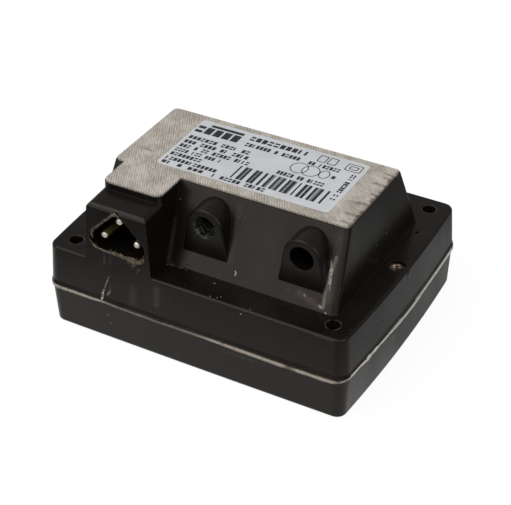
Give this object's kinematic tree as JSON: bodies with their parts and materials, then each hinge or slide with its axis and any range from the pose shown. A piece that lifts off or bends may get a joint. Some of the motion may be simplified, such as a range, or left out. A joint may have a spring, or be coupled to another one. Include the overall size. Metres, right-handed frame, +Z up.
{
  "type": "ignition transformer",
  "caption": "Potted burner ignition transformer in a dark moulded case with mains inlet, high-voltage bores, flange fixing holes and an earth point.",
  "frame": {"origin": "centre of the underside", "axes": "+X along the long side to the right, +Y to the back, +Z up; the sockets face -Y"},
  "size_m": [0.1088, 0.0842, 0.0529],
  "materials": {
    "case_plastic": "satin, moulded",
    "sealing_compound": "matte, rough",
    "potting_resin": "cast",
    "grey_board": "fine woven grain",
    "label_paper": "smooth",
    "core_steel": "rolled sheet",
    "former_plastic": "moulded",
    "copper_wire": "enamelled",
    "contact_brass": "turned",
    "pin_metal": "tinned, tarnished",
    "insert_metal": "rusty",
    "lead_insulation": "smooth"
  },
  "bodies": {
    "root": {"upper_housing": "case_plastic", "base_tray": "case_plastic", "seam_bead": "sealing_compound", "potting_resin": "potting_resin", "top_panel": "grey_board", "rating_label": "label_paper", "core_e_stack": "core_steel", "core_i_stack": "core_steel", "magnetic_shunt_front": "core_steel", "magnetic_shunt_back": "core_steel", "primary_former": "former_plastic", "primary_winding": "copper_wire", "secondary_former_left": "former_plastic", "secondary_former_right": "former_plastic", "secondary_winding_left": "copper_wire", "secondary_winding_right": "copper_wire", "outlet_contact_left": "contact_brass", "outlet_contact_right": "contact_brass", "outlet_lead_left": "lead_insulation", "outlet_lead_right": "lead_insulation", "inlet_pin_line": "pin_metal", "inlet_pin_neutral": "pin_metal", "inlet_pin_earth": "pin_metal", "lead_line": "lead_insulation", "lead_neutral": "lead_insulation", "lead_earth": "lead_insulation", "earth_insert": "insert_metal", "earth_strap": "contact_brass"}
  },
  "joints": []
}
